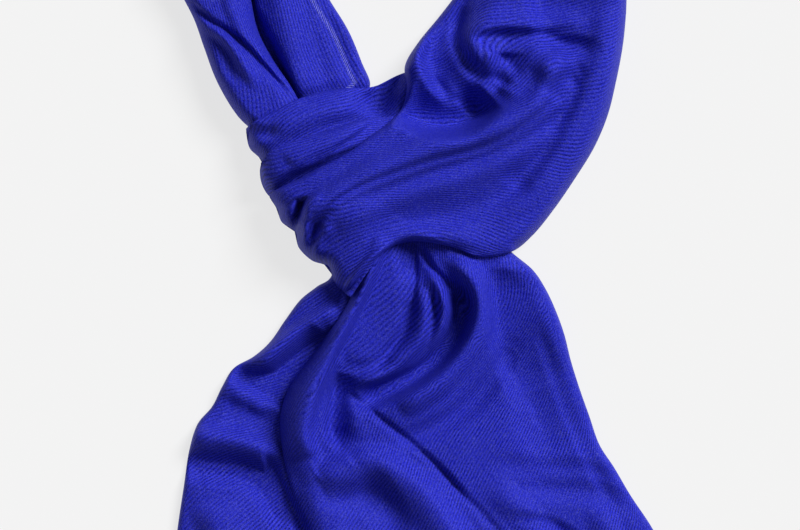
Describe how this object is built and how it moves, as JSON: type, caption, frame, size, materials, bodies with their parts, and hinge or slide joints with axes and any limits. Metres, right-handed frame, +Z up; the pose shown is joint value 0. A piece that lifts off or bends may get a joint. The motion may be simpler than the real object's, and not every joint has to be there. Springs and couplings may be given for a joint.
{
  "type": "pashmina shawl, tied with its ends through the bight and laid flat",
  "caption": "Blue twill shawl folded in half, looped round a neck opening and tied with its ends through the bight, laid flat with its ends spread.",
  "frame": {"origin": "centre of the footprint, on the surface that the shawl lies on", "axes": "+X to the right as the shawl is seen from above, +Y from the tail ends towards the neck loop, +Z up from the surface"},
  "size_m": [0.3082, 0.554, 0.0453],
  "materials": {
    "left_outer_end": "fine soft twill weave with a low sheen",
    "left_inner_end": "fine soft twill weave with a low sheen",
    "neck_loop_left": "fine soft twill weave with a low sheen",
    "neck_loop_right": "fine soft twill weave with a low sheen",
    "upper_band": "fine soft twill weave with a low sheen",
    "middle_band": "fine soft twill weave with a low sheen",
    "front_wrap": "fine soft twill weave with a low sheen",
    "front_tail": "fine soft twill weave with a low sheen",
    "back_tail": "fine soft twill weave with a low sheen"
  },
  "bodies": {
    "root": {"left_outer_end": "left_outer_end", "left_inner_end": "left_inner_end", "neck_loop_left": "neck_loop_left", "neck_loop_right": "neck_loop_right", "upper_band": "upper_band", "middle_band": "middle_band", "front_wrap": "front_wrap", "front_tail": "front_tail", "back_tail": "back_tail"}
  },
  "joints": []
}
